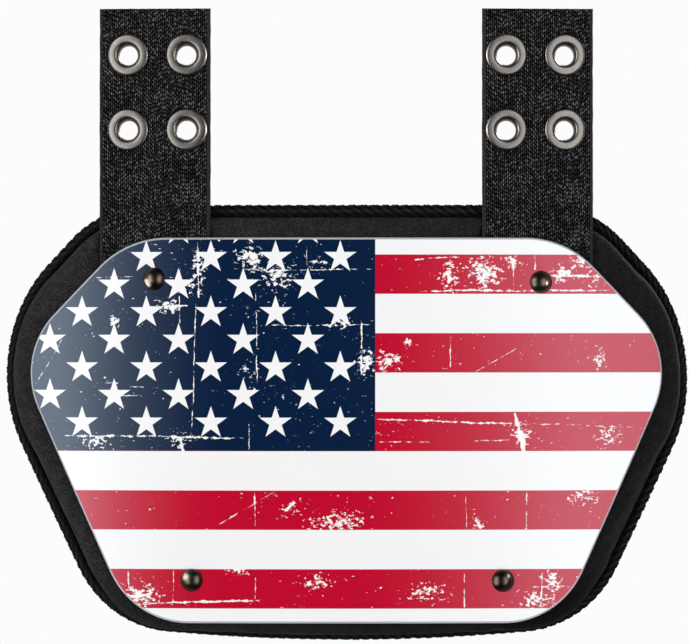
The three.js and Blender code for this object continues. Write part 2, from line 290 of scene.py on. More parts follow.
def makePrint():
    # lengths are in mm, and heights are from the middle of the grommets
    ink = {
        "stripePitch": 17.49, "stripeTop": -71.93,
        "cantonRight": 12.87, "cantonBottom": -159.31,
        "starColumns": 14.39, "starRows": 12.28, "starRadius": 7.5, "starWaist": 0.382,
        "lastStarX": -2.67, "lastStarZ": -146.8,
        "edge": 0.16,  # over which one ink goes over into the next
        "white": (0.8, 0.8, 0.805), "red": (0.455, 0.0008, 0.021), "navy": (0.0012, 0.0107, 0.0415),
        "worn": (0.82, 0.81, 0.81), "moulded": (0.36, 0.36, 0.39),
    }
    finish = Finish("platePrint", 0.2, IOR=1.5, Specular_IOR_Level=0.56, Specular_Tint=(0.76, 0.89, 1, 1))
    place = finish.place()
    x, _, z = finish.axes(place)

    # stripes and canton
    wave = ((ink["stripeTop"] - z) * (math.pi / ink["stripePitch"])).math("SINE")
    red = (wave * (ink["stripePitch"] / math.pi / ink["edge"]) + 0.5).clamped()
    canton = (ink["cantonRight"] - x).above(0, ink["edge"]) * \
        (z - ink["cantonBottom"]).above(0, ink["edge"])

    # staggered stars: two rows and two columns make one tile, with a star in its middle and at its corners
    column, row = ink["starColumns"], ink["starRows"]
    tileX = ((x - ink["lastStarX"]) / (2 * column) + 0.5).math("FRACT") * (2 * column) - column
    tileZ = ((z - ink["lastStarZ"]) / (2 * row) + 0.5).math("FRACT") * (2 * row) - row
    outside = (tileX.math("ABSOLUTE") / column + tileZ.math("ABSOLUTE") / row).math("GREATER_THAN", 1)
    nearX = tileX - outside * tileX.math("SIGN") * column
    nearZ = tileZ - outside * tileZ.math("SIGN") * row
    fifth = 2 * math.pi / 5
    turn = nearX.math("ARCTAN2", nearZ) / fifth
    fold = (turn - turn.math("ROUND")).math("ABSOLUTE") * fifth
    reach = (nearX * nearX + nearZ * nearZ).math("SQRT")
    along, across = reach * fold.math("COSINE"), reach * fold.math("SINE")
    tip, notch = ink["starRadius"], ink["starRadius"] * ink["starWaist"]
    edgeX, edgeY = notch * math.cos(fifth / 2) - tip, notch * math.sin(fifth / 2)
    inward = (edgeY * (tip - along) + edgeX * across) / math.hypot(edgeX, edgeY)
    known = (x - nearX).math("LESS_THAN", ink["lastStarX"] + column / 2) * \
        (z - nearZ).math("GREATER_THAN", ink["lastStarZ"] - row / 2)
    star = inward.above(0, ink["edge"]) * known

    worn, grain = printWear(finish, place)
    printed = finish.node("Attribute", {"attribute_name": "printed"}, output="Fac")
    tone = finish.colour(ink["white"], ink["red"], red)
    tone = finish.colour(tone, ink["navy"], canton)
    tone = finish.colour(tone, ink["white"], star * canton)
    tone = finish.colour(tone, ink["worn"], worn)
    finish.set("Base Color", finish.colour(ink["moulded"], tone, printed))
    finish.set("Roughness", 0.14 + worn * 0.12 + (grain - 0.5) * 0.03)
    sag = finish.noise(place, 14, 1, 0.4)
    finish.set("Normal", finish.bump(sag * 0.7 * mm + grain * 0.004 * mm))
    return finish.material


def makeKnit():
    finish = Finish("padKnit", 0.9, Sheen_Weight=0.015, Sheen_Roughness=0.5, Specular_IOR_Level=0.07)
    x, z = finish.clothPlace()
    pitch = 1.05  # mm between stitches
    wander = finish.noise(finish.vector(x, z), 0.05, 2, 0.5) * 4
    wale = ((x + wander) / pitch * math.tau).math("SINE")
    course = ((z - wander) / pitch * math.tau).math("SINE")
    stitch = (wale * course * 0.5 + 0.5) ** 1.4
    fleck = finish.noise(finish.vector(x, z), 1.1, 3, 0.8)
    patch = finish.noise(finish.vector(x, z), 0.22, 4, 0.65)
    # painted shade: the knit is darkened towards its right side and along its bottom, as if less light fell
    # there
    paintedShade = 1 - x.rising(-60, 150) * 0.52 - (z * -1).rising(205, 232) * 0.5
    shade = stitch * 0.65 + (fleck - 0.5) * 1.9 + (patch - 0.5) * 0.6 + 0.1
    light = shade.rising(0.05, 1.15) * paintedShade
    finish.set("Base Color", finish.colour((0.0025, 0.0023, 0.0023), (0.07, 0.065, 0.065), light))
    finish.set("Normal", finish.bump(stitch * 0.2 * mm + fleck * 0.12 * mm, 0.9))
    return finish.material


def makeTape():
    finish = Finish("bindingTape", 0.95, Sheen_Weight=0.01, Specular_IOR_Level=0.06)
    x, y = finish.clothPlace()  # x round the rim, y across the tape
    wale = ((x / 1.3 + y / 0.9) * math.tau).math("SINE") * 0.5 + 0.5
    fleck = finish.noise(finish.vector(x, y), 1.6, 3, 0.7)
    # painted shade: the tape is darkened between its ribs and lighter on their ridges
    paintedRibShade = finish.node("Attribute", {"attribute_name": "rib"}, output="Fac")
    # painted highlight: two lines along the tape, on the crest of the fold, are lightened
    paintedCrestLight = y.rising(1.6, 3) * (1 - y.rising(3.4, 5)) + y.rising(10, 11.5) * (1 - y.rising(12, 13.5))
    shade = (wale * 0.4 + fleck * 0.6) * (0.12 + paintedRibShade * 0.55 + paintedCrestLight * 0.4)
    light = shade.rising(0.1, 0.85)
    finish.set("Base Color", finish.colour((0.0016, 0.0015, 0.0015), (0.034, 0.0335, 0.0335), light))
    finish.set("Normal", finish.bump(wale * 0.16 * mm + fleck * 0.08 * mm, 0.9))
    return finish.material


def makeWebbing():
    finish = Finish("strapWebbing", 0.8, Specular_IOR_Level=0.0)
    weave = {
        "columns": 0.92, "rows": 1.9, "band": 8.2, "selvedge": 1.6, "halfWidth": 25.7,  # mm
        "lean": 0.3,  # of the threads, to the other side in every second band
    }
    x, z = finish.clothPlace()
    wobble = finish.noise(finish.vector(x, z), 0.11, 2, 0.5) - 0.5
    warp = x + wobble * 0.9
    way = ((warp / (2 * weave["band"])).math("FRACT") - 0.5).math("SIGN")
    columnCount = (warp / weave["columns"]).math("FLOOR")
    slip = finish.node("TexWhiteNoise", {"noise_dimensions": "1D"}, {1: columnCount})
    drift = finish.noise(finish.vector(columnCount * 3.7, z * 0.12), 1.0, 1) * 1.8
    rowPlace = z / weave["rows"] + columnCount * 0.5 + slip * 0.4 + drift
    rowPart = rowPlace.math("FRACT")
    columnPart = (warp / weave["columns"]).math("FRACT") + (rowPart - 0.5) * way * weave["lean"]
    thread = (columnPart.clamped() * math.pi).math("SINE") ** 4.2
    over = (rowPart * math.pi).math("SINE") ** 1.6
    dash = thread * over
    pick = finish.node("TexWhiteNoise", {"noise_dimensions": "2D"},
                       {0: finish.vector(columnCount, rowPlace.math("FLOOR"))})
    edge = x.math("ABSOLUTE").above(weave["halfWidth"] - weave["selvedge"], 0.3)
    rub = finish.noise(finish.vector(x * 0.5, z), 0.09, 3, 0.6)
    light = dash * (0.15 + pick * pick * 0.85) * (0.25 + rub * 1.2)
    light = light * (1 - edge) + edge * (0.06 + over * 0.06)
    finish.set("Base Color", finish.colour((0.0009, 0.0009, 0.0011), (0.27, 0.27, 0.28), light.clamped()))
    finish.set("Roughness", 0.8 - dash * 0.15)
    finish.set("Normal", finish.bump(dash * 0.25 * mm, 0.8))
    return finish.material


def makeNickel():
    finish = Finish("grommetNickel", 0.3, 1.0)
    place = finish.place()
    cloud = finish.noise(place, 300, 3, 0.6)
    fine = finish.noise(place, 2600, 2, 0.6)
    bore = finish.node("Attribute", {"attribute_name": "bore"}, output="Fac")  # painted shade: the barrel inside the hole is painted dark
    bright = finish.colour((0.168, 0.157, 0.147), (0.21, 0.196, 0.183), cloud.rising(0.3, 0.7))
    finish.set("Base Color", finish.colour(bright, (0.06, 0.05, 0.043), bore * (0.8 + cloud * 0.4)))
    finish.set("Roughness", 0.31 + cloud * 0.06 + fine * 0.03)
    finish.set("Normal", finish.bump(cloud * 0.012 * mm + fine * 0.003 * mm, 0.6))
    return finish.material


def makeGunmetal():
    finish = Finish("rivetGunmetal", 0.2, 1.0)
    place = finish.place()
    cloud = finish.noise(place, 260, 3, 0.6)
    fine = finish.noise(place, 2400, 2, 0.6)
    light = cloud.rising(0.35, 0.7)
    finish.set("Base Color", finish.colour((0.06, 0.048, 0.038), (0.125, 0.102, 0.082), light))
    finish.set("Roughness", 0.27 + cloud * 0.08)
    finish.set("Normal", finish.bump(cloud * 0.05 * mm + fine * 0.002 * mm, 0.8))
    return finish.material


print("finishes made")


# Modelling helpers


def finishPiece(bm, name, material, sharp=40, merge=True):
    if merge:
        bmesh.ops.remove_doubles(bm, verts=bm.verts, dist=0.005 * mm)
    bmesh.ops.recalc_face_normals(bm, faces=bm.faces)
    mesh = bpy.data.meshes.new(name)
    bm.to_mesh(mesh)
    bm.free()
    mesh.materials.append(material)
    mesh.shade_smooth()
    mesh.set_sharp_from_angle(angle=math.radians(sharp))
    piece = bpy.data.objects.new(name, mesh)
    scene.collection.objects.link(piece)
    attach(piece, "root")
    print("made", name, len(mesh.polygons), "faces")
    return piece


def bendAll(bm):
    for vert in bm.verts:
        vert.co = bendPoint(vert.co)


def cornerArcs(corners):
    # the arcs of a symmetric outline, from the corners of its right half, top to bottom
    places = [Vector((x, 0, z)) for x, z, r in corners]
    before = Vector((-places[0].x, 0, places[0].z))
    last = places[-1] if places[-1].x else places[-2]
    after = Vector((-last.x, 0, last.z))
    chain = [before, *places, after]
    arcs = []
    for i, (x, z, r) in enumerate(corners):
        into = (chain[i + 1] - chain[i]).normalized()
        away = (chain[i + 2] - chain[i + 1]).normalized()
        turn = into.angle(away)
        start = chain[i + 1] - into * r * math.tan(turn / 2)
        centre = start + Vector((into.z, 0, -into.x)) * r
        arcs.append({"start": start, "centre": centre, "turn": turn if x else turn / 2, "round": r})
    return arcs


def outlineRing(bm, corners, spacing):
    # a closed ring of edges: arcs are spun, straights extruded and subdivided, and the left half mirrored
    arcs = cornerArcs(corners)
    tip = bm.verts.new((0, 0, corners[0][1]))

    def vertAt(place):
        return min(bm.verts, key=lambda v: (v.co - place).length)

    def runTo(tip, place):
        far = bmesh.ops.extrude_vert_indiv(bm, verts=[tip])
        far["verts"][0].co = place
        cuts = max(0, round((place - tip.co).length / spacing) - 1)
        if cuts:
            bmesh.ops.subdivide_edges(bm, edges=far["edges"], cuts=cuts)
        return vertAt(place)

    for arc in arcs:
        if (arc["start"] - tip.co).length > 0.01 * mm:
            tip = runTo(tip, arc["start"])
        steps = max(2, round(arc["turn"] * arc["round"] / spacing))
        bmesh.ops.spin(bm, geom=[tip], cent=arc["centre"], axis=(0, 1, 0), angle=arc["turn"], steps=steps)
        spoke = Matrix.Rotation(arc["turn"], 3, "Y") @ (arc["start"] - arc["centre"])
        tip = vertAt(arc["centre"] + spoke)
    if tip.co.x > 0.01 * mm:
        tip = runTo(tip, Vector((0, 0, tip.co.z)))
    tip.co.x = 0
    bmesh.ops.mirror(bm, geom=[*bm.verts, *bm.edges], axis="X", merge_dist=0.01 * mm)
    bmesh.ops.remove_doubles(bm, verts=bm.verts, dist=0.01 * mm)
    return ringOrder(bm)


def ringOrder(bm):
    top = max(bm.verts, key=lambda v: (round(v.co.z, 6), -abs(v.co.x)))
    ring = [top]
    vert = max((e.other_vert(top) for e in top.link_edges), key=lambda v: v.co.x)
    while vert is not top:
        ring.append(vert)
        vert = [e.other_vert(vert) for e in vert.link_edges if e.other_vert(vert) is not ring[-2]][0]
    return ring


def ringFacts(ring):
    # place, outward direction and distance travelled of each vertex of a ring that runs clockwise
    facts, travelled = [], 0
    for i, vert in enumerate(ring):
        before, after = ring[i - 1].co, ring[(i + 1) % len(ring)].co
        along = (after - before).normalized()
        if i:
            travelled += (vert.co - before).length
        facts.append((vert.co.copy(), Vector((-along.z, 0, along.x)), travelled))
    total = travelled + (ring[0].co - ring[-1].co).length
    return facts, total


def ringEdges(ring):
    return [next(e for e in vert.link_edges if e.other_vert(vert) is ring[(i + 1) % len(ring)])
            for i, vert in enumerate(ring)]


def growRing(bm, ring):
    # extrudes a ring and gives the new one in the same order
    grown = bmesh.ops.extrude_edge_only(bm, edges=ringEdges(ring))
    fresh = {part for part in grown["geom"] if isinstance(part, bmesh.types.BMVert)}
    return [next(e.other_vert(v) for e in v.link_edges if e.other_vert(v) in fresh) for v in ring]


def settle(bm):
    # operators leave edges and faces in an order that changes from run to run, and the cloth answers to it
    bm.verts.index_update()
    count = len(bm.verts)

    def rank(part):
        key = 0
        for index in sorted(vert.index for vert in part.verts)[:3]:
            key = key * count + index
        return key

    bm.edges.sort(key=rank)
    bm.faces.sort(key=rank)


def turned(profile, steps):
    # a turned piece about its own y axis; a profile point is radius, height out of the face, rounding
    bm = bmesh.new()
    verts = [bm.verts.new((r * mm, -out * mm, 0)) for r, out, rounding in profile]
    for a, b in zip(verts, verts[1:]):
        bm.edges.new((a, b))
    rounded = [(vert, rounding) for vert, (r, out, rounding) in zip(verts, profile) if rounding]
    for vert, rounding in rounded:
        bmesh.ops.bevel(bm, geom=[vert], offset=rounding * mm, offset_type="OFFSET", segments=4,
                        affect="VERTICES", profile=0.5, material=-1)
    bmesh.ops.spin(bm, geom=[*bm.verts, *bm.edges], cent=(0, 0, 0), axis=(0, 1, 0),
                   angle=math.tau, steps=steps, use_merge=True)
    bmesh.ops.remove_doubles(bm, verts=bm.verts, dist=0.002 * mm)
    return bm


# Plate

plate = {
    "corners": [(98.75 * mm, -64.4 * mm, 44.6 * mm), (152 * mm, -116.9 * mm, 36.3 * mm),
                (96.15 * mm, -235.9 * mm, 40 * mm)],  # across, height and round, from the top
    "thickness": 3 * mm,
    "edgeRound": 0.7 * mm, "edgeBlend": 0.3 * mm,
    "ringSpacing": 2.2 * mm,
    "stripWidth": 3 * mm, "strips": 100,  # it is cut into upright strips before it is bent
}


def makePlate():
    bm = bmesh.new()
    ring = outlineRing(bm, plate["corners"], plate["ringSpacing"])
    front = bmesh.ops.contextual_create(bm, geom=ringEdges(ring))["faces"]
    thick = bmesh.ops.extrude_face_region(bm, geom=front)
    moved = [part for part in thick["geom"] if isinstance(part, bmesh.types.BMVert)]
    bmesh.ops.translate(bm, verts=moved, vec=(0, plate["thickness"], 0))
    bmesh.ops.recalc_face_normals(bm, faces=bm.faces)
    rims = [e for e in bm.edges if abs(e.verts[0].co.y - e.verts[1].co.y) < 0.01 * mm]
    bmesh.ops.bevel(bm, geom=rims, offset=plate["edgeRound"], offset_type="OFFSET", segments=4,
                    affect="EDGES", profile=0.5, material=-1)
    printed = bm.verts.layers.float.new("printed")
    broad = sorted(bm.faces, key=lambda f: f.calc_area())[-2:]
    bmesh.ops.inset_region(bm, faces=broad, thickness=plate["edgeBlend"], depth=0)
    front = min(broad, key=lambda f: f.calc_center_median().y)
    for vert in front.verts:
        vert[printed] = 1
    for i in range(1 - plate["strips"] // 2, plate["strips"] // 2):
        bmesh.ops.bisect_plane(bm, geom=[*bm.verts, *bm.edges, *bm.faces], dist=0.001 * mm,
                               plane_co=(i * plate["stripWidth"], 0, 0), plane_no=(1, 0, 0))
    bendAll(bm)
    piece = finishPiece(bm, "printed_plate", makePrint(), sharp=60)
    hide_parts("back_plate")


makePlate()

# Pad

pad = {
    "corners": [(113.55 * mm, -49.9 * mm, 52 * mm), (177.5 * mm, -111.6 * mm, 69 * mm),
                (112.05 * mm, -237.9 * mm, 53 * mm), (0, -245.8 * mm, 999 * mm)],
    "front": 3.3 * mm, "back": 17.1 * mm,  # depths of the two faces
    "rimInset": 2.2 * mm, "rimHalf": 1.6 * mm, "rimDepth": 13.5 * mm,
    "tapeInset": 5.6 * mm, "frontSlope": 7.8 * mm, "backSlope": 9.5 * mm,
    "ringSpacing": 3.2 * mm, "gridSpacing": 3.6 * mm, "gridAcross": 41, "gridUp": 72,
    "swell": 1.9 * mm,  # the most that the fabric may move
    "strapCentre": 86.8 * mm, "strapHalf": 25.4 * mm, "strapBottom": -110.5 * mm, "strapFloor": 5.7 * mm,
    "rivets": [(-86.8 * mm, -83.6 * mm), (86.8 * mm, -83.6 * mm),
               (-69.7 * mm, -216.9 * mm), (69.7 * mm, -216.9 * mm)],
    "capRadius": 5.2 * mm, "dimpleRadius": 13 * mm, "dimpleDepth": 2.2 * mm,
    "pressure": 3.2, "steps": 20,
    "roll": 4.7 * mm,  # how far the front bulges over the tape at the bottom
    "rollDrops": (214 * mm, 236 * mm),  # the bulge comes in between these, below the grommets
    "puff": 0.25 * mm, "ripple": 0.35 * mm,  # how the front's border bulges, and how unevenly
    "pucker": 0.55 * mm,  # beside the tape at the back
    "folds": 7, "fold": 0.4 * mm,  # round each rivet at the back
    "unevenness": 0.5 * mm,  # of the whole back
}


def insetOf(x, z, arcs):
    # how far a flat point lies inside an outline made of arcs and straights
    point = Vector((abs(x), 0, z))
    depth = math.inf
    for arc in arcs:
        normal = (arc["start"] - arc["centre"]).normalized()
        depth = min(depth, (arc["start"] - point).dot(normal))
        spoke = point - arc["centre"]
        angle = math.atan2(normal.z * spoke.x - normal.x * spoke.z, normal.dot(spoke))
        if 0 <= angle <= arc["turn"]:
            depth = min(depth, arc["round"] - spoke.length)
    last = arcs[-1]
    lastNormal = Matrix.Rotation(last["turn"], 3, "Y") @ (last["start"] - last["centre"]).normalized()
    end = last["centre"] + lastNormal * last["round"]
    return min(depth, (end - point).dot(lastNormal))


def rivetDistance(x, z):
    return min(math.hypot(x - rivetX, z - rivetZ) for rivetX, rivetZ in pad["rivets"])


def padDimple(x, z):
    # 1 at a rivet's cap, falling to 0 at the edge of the hollow that it pulls in
    return 1 - smoothStep(rivetDistance(x, z), pad["capRadius"], pad["dimpleRadius"])


def frontLimit(x, z, plateArcs):
    # the least depth that the front of the pad may have: it lies under the plate and the straps
    under = insetOf(x, z, plateArcs)
    limit = pad["front"] - smoothStep(-under, -0.5 * mm, 5 * mm) * 1.2 * mm
    side = abs(abs(x) - pad["strapCentre"]) - pad["strapHalf"]
    if z > pad["strapBottom"] - 3 * mm:
        beside = 1 - smoothStep(side, 0.3 * mm, 3.5 * mm)
        below = smoothStep(z, pad["strapBottom"] - 3 * mm, pad["strapBottom"])
        limit += (pad["strapFloor"] - limit) * beside * below
    return limit


def makePadForm():
    # rings from the front flat over the slope, round the thin rim and up to the back flat
    bm = bmesh.new()
    ring = outlineRing(bm, pad["corners"], pad["ringSpacing"])
    facts = ringFacts(ring)[0]
    rimFront, rimBack = pad["rimDepth"] - pad["rimHalf"], pad["rimDepth"] + pad["rimHalf"]
    rows = [(40 * mm, pad["front"]), (27 * mm, pad["front"]), (18 * mm, pad["front"])]
    for degrees in (90, 68, 48, 30, 14, 0):
        angle = math.radians(degrees)
        rows.append((pad["tapeInset"] + pad["frontSlope"] * (1 - math.cos(angle)),
                     rimFront - (rimFront - pad["front"]) * math.sin(angle)))
    rows += [(4 * mm, rimFront), (pad["rimInset"], rimFront + 0.4 * mm),
             (pad["rimInset"], rimBack - 0.4 * mm), (4 * mm, rimBack)]
    for degrees in (0, 18, 38, 62, 90):
        angle = math.radians(degrees)
        rows.append((pad["tapeInset"] + pad["backSlope"] * (1 - math.cos(angle)),
                     rimBack + (pad["back"] - rimBack) * math.sin(angle)))
    rows += [(22 * mm, pad["back"]), (31 * mm, pad["back"]), (40 * mm, pad["back"])]
    first = None
    for inset, depth in rows:
        if first:
            ring = growRing(bm, ring)
        for vert, (place, outward, distance) in zip(ring, facts):
            vert.co = place - outward * inset
            vert.co.y = depth
        first = first or ring
    settle(bm)
    for end in (first, ring):
        cap = bmesh.ops.contextual_create(bm, geom=ringEdges(end))["faces"]
        for axis, lines in ((Vector((1, 0, 0)), pad["gridAcross"]), (Vector((0, 0, 1)), pad["gridUp"])):
            for i in range(-lines, lines + 1):
                place = i * pad["gridSpacing"]
                parts = {*cap, *(e for f in cap for e in f.edges), *(v for f in cap for v in f.verts)}
                cut = bmesh.ops.bisect_plane(bm, geom=list(parts), dist=0.01 * mm,
                                             plane_co=axis * place, plane_no=axis)
                cap = [part for part in cut["geom"] if isinstance(part, bmesh.types.BMFace)]
    for vert in bm.verts:
        if vert.co.y > pad["rimDepth"] + 2 * mm:
            vert.co.y -= padDimple(vert.co.x, vert.co.z) * pad["dimpleDepth"]
    settle(bm)
    return bm


def swellPad(bm):
    # the fabric is blown up a little by a cloth simulation, held at the rim and at the rivets
    mesh = bpy.data.meshes.new("padSwell")
    bm.to_mesh(mesh)
    cloth = bpy.data.objects.new("padSwell", mesh)
    scene.collection.objects.link(cloth)
    held = cloth.vertex_groups.new(name="held")
    arcs = cornerArcs(pad["corners"])
    for vert in mesh.vertices:
        nearRim = insetOf(vert.co.x, vert.co.z, arcs) < pad["tapeInset"] + 0.6 * mm
        nearRivet = rivetDistance(vert.co.x, vert.co.z) < pad["capRadius"] + 1.5 * mm
        if nearRim or nearRivet:
            held.add([vert.index], 1.0, "REPLACE")
    swell = cloth.modifiers.new("swell", "CLOTH")
    swell.settings.quality = 5
    swell.settings.mass = 0.3
    swell.settings.tension_stiffness = 12
    swell.settings.compression_stiffness = 12
    swell.settings.shear_stiffness = 4
    swell.settings.bending_stiffness = 0.4
    swell.settings.shrink_min = -0.018
    swell.settings.use_pressure = True
    swell.settings.uniform_pressure_force = pad["pressure"]
    swell.settings.effector_weights.gravity = 0
    swell.settings.vertex_group_mass = "held"
    swell.collision_settings.use_collision = False
    for step in range(1, pad["steps"] + 1):
        scene.frame_set(step)
    blown = cloth.evaluated_get(bpy.context.evaluated_depsgraph_get()).to_mesh()
    bm.verts.ensure_lookup_table()
    for vert, moved in zip(bm.verts, blown.vertices):
        shift = moved.co - vert.co
        if shift.length > 0:
            vert.co += shift * (math.tanh(shift.length / pad["swell"]) * pad["swell"] / shift.length)
    scene.frame_set(1)
    bpy.data.objects.remove(cloth)
    bpy.data.meshes.remove(mesh)


def dressPad(bm):
    # keeps the front under the plate and the straps, lets the bottom roll over the tape, and adds creases
    plateArcs, padArcs = cornerArcs(plate["corners"]), cornerArcs(pad["corners"])
    for vert in bm.verts:
        x, y, z = vert.co
        inset = insetOf(x, z, padArcs)
        if y < pad["rimDepth"] - pad["rimHalf"] - 0.05 * mm:
            roll = smoothStep(-z, *pad["rollDrops"])
            high = smoothStep(pad["rimDepth"] - pad["rimHalf"] - y, 0.6 * mm, 3 * mm) * \
                (1 - smoothStep(inset, 9 * mm, 22 * mm))
            outward = Vector((x * 0.2, 0, -120 * mm)).normalized()
            vert.co += outward * roll * high * pad["roll"]
            puff = 1 - smoothStep(abs(inset - 8 * mm), 0, 5 * mm)
            ripple = noise.noise(Vector((x * 90, 3, z * 90)))
            vert.co.y -= puff * (pad["puff"] + pad["ripple"] * ripple)
            x, y, z = vert.co
            vert.co.y = max(vert.co.y, frontLimit(x, z, plateArcs))
        elif y > pad["rimDepth"] + pad["rimHalf"] + 0.05 * mm:
            near = (1 - smoothStep(inset, 6 * mm, 17 * mm)) * smoothStep(inset, 5.4 * mm, 7 * mm)
            pucker = noise.noise(Vector((x * 150, 1, z * 150)))
            vert.co.y += near * pucker * pad["pucker"]
            for rivetX, rivetZ in pad["rivets"]:
                away = math.hypot(x - rivetX, z - rivetZ)
                if away < 30 * mm:
                    angle = math.atan2(z - rivetZ, x - rivetX)
                    fold = math.cos(angle * pad["folds"] + rivetX * 900 + away * 60)
                    reach = smoothStep(away, 6 * mm, 9 * mm) * (1 - smoothStep(away, 12 * mm, 30 * mm))
                    vert.co.y += fold * pad["fold"] * reach
            broad = noise.noise(Vector((x * 22, 7, z * 22)))
            inside = smoothStep(inset, 12 * mm, 30 * mm) * (1 - padDimple(x, z))
            vert.co.y += broad * pad["unevenness"] * inside


def makePad():
    bm = makePadForm()
    bmesh.ops.recalc_face_normals(bm, faces=bm.faces)
    swellPad(bm)
    flat = bpy.data.meshes.new("padFlat")
    bm.to_mesh(flat)
    bm.free()
    holder = bpy.data.objects.new("padFlat", flat)
    scene.collection.objects.link(holder)
    smooth = holder.modifiers.new("smooth", "SUBSURF")
    smooth.levels = smooth.render_levels = 1
    fine = holder.evaluated_get(bpy.context.evaluated_depsgraph_get())
    bm = bmesh.new()
    bm.from_mesh(fine.to_mesh())
    bpy.data.objects.remove(holder)
    dressPad(bm)
    cloth = bm.loops.layers.uv.new("cloth")
    for face in bm.faces:
        for loop in face.loops:
            loop[cloth].uv = (loop.vert.co.x / mm, loop.vert.co.z / mm)
    spreadPad(bm)
    bendAll(bm)
    piece = finishPiece(bm, "knit_pad", makeKnit(), sharp=180, merge=False)
    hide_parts("foam_pad")


makePad()

# Binding tape

tape = {
    "width": 5.4 * mm, "half": 3.2 * mm, "wall": 1.2 * mm, "depth": 13.5 * mm,
    "round": 3 * mm,  # how far in the fold's round reaches
    "ribPitch": 4.8 * mm, "ribLean": 1.5, "ribHeight": 0.8 * mm, "ribSkew": 0.11, "ribUneven": 0.25,
    "toothHeight": 0.16 * mm, "edgeWave": 0.35 * mm,
    "spacing": 0.9 * mm,
}


def tapeSection():
    # rows of inset, rise from the tape's middle, outward direction, distance travelled over the outside,
    # and how strongly the ribs show
    points = [(tape["width"], -0.72 * tape["half"]), (tape["width"] - 0.5 * mm, -0.95 * tape["half"]),
              (tape["width"] - 1.2 * mm, -tape["half"])]
    for i in range(17):
        angle = math.radians(-90 + 180 * i / 16)
        points.append((tape["round"] * (1 - math.cos(angle)), tape["half"] * math.sin(angle)))
    points += [(tape["width"] - 1.2 * mm, tape["half"]), (tape["width"] - 0.5 * mm, 0.95 * tape["half"]),
               (tape["width"], 0.72 * tape["half"])]
    rows, travelled = [], 0
    for i, (inset, rise) in enumerate(points):
        a, b = points[max(0, i - 1)], points[min(len(points) - 1, i + 1)]
        along = Vector((b[0] - a[0], b[1] - a[1])).normalized()
        if i:
            travelled += math.hypot(inset - points[i - 1][0], rise - points[i - 1][1])
        fade = min(1, i / 3, (len(points) - 1 - i) / 3)
        rows.append((inset, rise, Vector((-along.y, along.x)), travelled, fade))
    inner = tape["half"] - tape["wall"]
    corner = tape["wall"] + 0.6 * mm
    for inset, rise in ((tape["width"], inner), (corner, inner), (tape["wall"] + 0.3 * mm, 0),
                        (corner, -inner), (tape["width"], -inner)):
        rows.append((inset, rise, Vector((0, 0)), 0, 0))
    rows.append(rows[0])
    return rows


def makeBinding():
    bm = bmesh.new()
    rib = bm.verts.layers.float.new("rib")
    acrossTape = bm.verts.layers.float.new("acrossTape")
    roundRim = bm.verts.layers.float.new("roundRim")
    ring = outlineRing(bm, pad["corners"], tape["spacing"])
    facts, total = ringFacts(ring)
    pitch = total / round(total / tape["ribPitch"])
    rows = tapeSection()
    for number, (inset, rise, out, travelled, fade) in enumerate(rows):
        if number:
            ring = growRing(bm, ring)
        for vert, (place, outward, distance) in zip(ring, facts):
            uneven = noise.noise(Vector((distance * 60, travelled * 200, 2))) * tape["ribUneven"]
            phase = (distance + travelled * tape["ribLean"]) / pitch + uneven
            skewed = phase + tape["ribSkew"] * math.sin(phase * math.tau)
            ridge = (0.5 + 0.5 * math.cos(skewed * math.tau)) ** 0.8
            tooth = math.cos((phase * 3 + travelled * 700) * math.tau)
            height = ((ridge - 0.62) * tape["ribHeight"] + tooth * tape["toothHeight"]) * fade
            wave = (1 - fade) * (ridge - 0.5) * tape["edgeWave"] if out.length else 0
            vert.co = place - outward * (inset + wave + out.x * height)
            vert.co.y = tape["depth"] + rise + out.y * height
            vert[rib] = ridge if fade else 0.3
            vert[acrossTape] = travelled / mm
            vert[roundRim] = distance / mm
    bmesh.ops.remove_doubles(bm, verts=bm.verts, dist=0.002 * mm)
    cloth = bm.loops.layers.uv.new("cloth")
    for face in bm.faces:
        atEnd = max(loop.vert[roundRim] for loop in face.loops) > total / mm * 0.75
        for loop in face.loops:
            along = loop.vert[roundRim]
            if atEnd and along < total / mm * 0.25:
                along += total / mm
            loop[cloth].uv = (along, loop.vert[acrossTape])
    spreadPad(bm)
    bendAll(bm)
    piece = finishPiece(bm, "ribbed_binding", makeTape(), sharp=180, merge=False)
    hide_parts("edge_binding")


makeBinding()

# Straps

strap = {
    "width": 51.4 * mm, "front": 3.3 * mm, "thickness": 2.2 * mm,
    "centre": 87.1 * mm, "top": 37.75 * mm, "bottom": -109.6 * mm,
    "edgeRound": 0.9 * mm, "columns": 42, "rows": 96,  # of faces
    "holeRadius": 5.3 * mm,
    "wave": 0.35 * mm, "freeFrom": (-58 * mm, -30 * mm),  # it hangs free, and waves, above these heights
    "fray": 0.16 * mm,
    "grommetRow": 16.65 * mm, "grommetColumn": 13.5 * mm, "grommetRise": 0.5 * mm,
    "grommetShift": (1.7 * mm, 1.5 * mm),  # how far the four sit inwards on the left and on the right strap
}


def grommetPlaces(way):
    middle = way * (strap["centre"] - strap["grommetShift"][way > 0])
    return [(middle + column * strap["grommetColumn"], row * strap["grommetRow"] + strap["grommetRise"],
             row, column) for row in (1, -1) for column in (-1, 1)]


